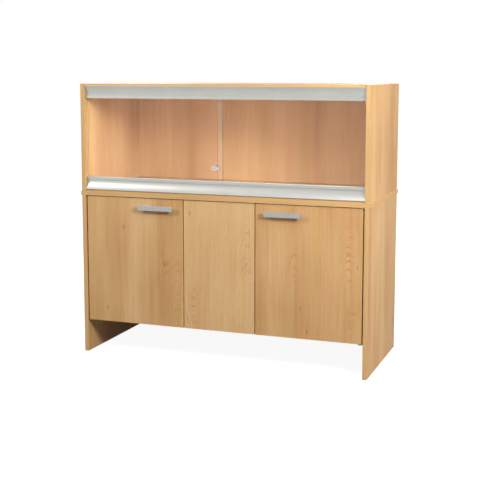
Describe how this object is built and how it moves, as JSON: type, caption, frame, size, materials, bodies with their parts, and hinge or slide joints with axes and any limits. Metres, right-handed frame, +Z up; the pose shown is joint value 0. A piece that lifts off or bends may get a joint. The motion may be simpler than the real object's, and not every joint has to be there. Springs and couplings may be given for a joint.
{
  "type": "terrarium cabinet",
  "caption": "Wooden base cabinet with hinged doors either side of a fixed panel, under a lift-off terrarium with sliding glass panes, metal cove profiles and a glass lock.",
  "frame": {"origin": "on the floor, under the centre of the whole object's bounding box", "axes": "+X to the right seen from the front, along the width; +Y from the front to the back, so the doors face -Y; +Z up"},
  "size_m": [1.158, 0.5, 1.064],
  "materials": {
    "board": "light oak effect melamine, satin",
    "back_panel": "light oak effect foil on thin fibreboard, satin",
    "dowel_wood": "plain beech",
    "handle_metal": "satin silver",
    "profile_metal": "satin silver anodised",
    "lock_metal": "satin plated",
    "cam_metal": "dull zinc",
    "steel": "zinc plated",
    "glass": "clear, polished edges",
    "runner_plastic": "pale grey, matt",
    "brown_plastic": "brown, matt",
    "bush_plastic": "white nylon, matt",
    "buffer_rubber": "black, matt"
  },
  "bodies": {
    "cabinet": {"cabinet_side_left": "board", "cabinet_side_right": "board", "cabinet_top": "board", "cabinet_bottom": "board", "cabinet_divider": "board", "cabinet_back": "back_panel", "centre_panel": "board", "centre_panel_blocks": "brown_plastic", "block_screws": "steel", "cabinet_cams": "cam_metal", "cabinet_cam_bolts": "steel", "cabinet_dowels": "dowel_wood", "cabinet_back_screws": "steel", "top_pivots": "steel", "bottom_pivot_brackets": "steel", "bracket_screws": "steel", "door_catches": "brown_plastic", "catch_screws": "steel", "door_buffers": "buffer_rubber"},
    "left_door_leaf": {"left_door": "board", "left_handle": "handle_metal", "left_handle_screws": "steel", "left_door_bushes": "bush_plastic", "left_strike_plate": "steel", "left_strike_screw": "steel"},
    "right_door_leaf": {"right_door": "board", "right_handle": "handle_metal", "right_handle_screws": "steel", "right_door_bushes": "bush_plastic", "right_strike_plate": "steel", "right_strike_screw": "steel"},
    "terrarium": {"terrarium_side_left": "board", "terrarium_side_right": "board", "terrarium_floor": "board", "terrarium_roof": "board", "terrarium_back": "back_panel", "sill_profile": "profile_metal", "header_profile": "profile_metal", "lower_runner": "runner_plastic", "upper_runner": "runner_plastic", "profile_screws": "steel", "terrarium_cams": "cam_metal", "terrarium_cam_bolts": "steel", "terrarium_dowels": "dowel_wood", "terrarium_back_screws": "steel"},
    "left_pane": {"left_glass": "glass"},
    "right_pane": {"right_glass": "glass", "lock_body": "lock_metal"},
    "plug": {"lock_plug": "lock_metal"}
  },
  "joints": [
    {"name": "left_door_hinge", "type": "hinge", "parent": "cabinet", "child": "left_door_leaf", "pos_m": [-0.5475, -0.223, 0.378], "axis": [0, 0, -1], "range_deg": [0, 95]},
    {"name": "right_door_hinge", "type": "hinge", "parent": "cabinet", "child": "right_door_leaf", "pos_m": [0.5475, -0.223, 0.378], "axis": [0, 0, 1], "range_deg": [0, 95]},
    {"name": "terrarium_lift", "type": "slide", "parent": "cabinet", "child": "terrarium", "axis": [0, 0, 1], "range_m": [0, 0.3]},
    {"name": "left_pane_slide", "type": "slide", "parent": "terrarium", "child": "left_pane", "axis": [1, 0, 0], "range_m": [0, 0.54]},
    {"name": "right_pane_slide", "type": "slide", "parent": "terrarium", "child": "right_pane", "axis": [-1, 0, 0], "range_m": [0, 0.52]},
    {"name": "lock_turn", "type": "hinge", "parent": "right_pane", "child": "plug", "pos_m": [-0.0191, -0.2261, 0.7518], "axis": [0, 1, 0], "range_deg": [0, 90]}
  ]
}
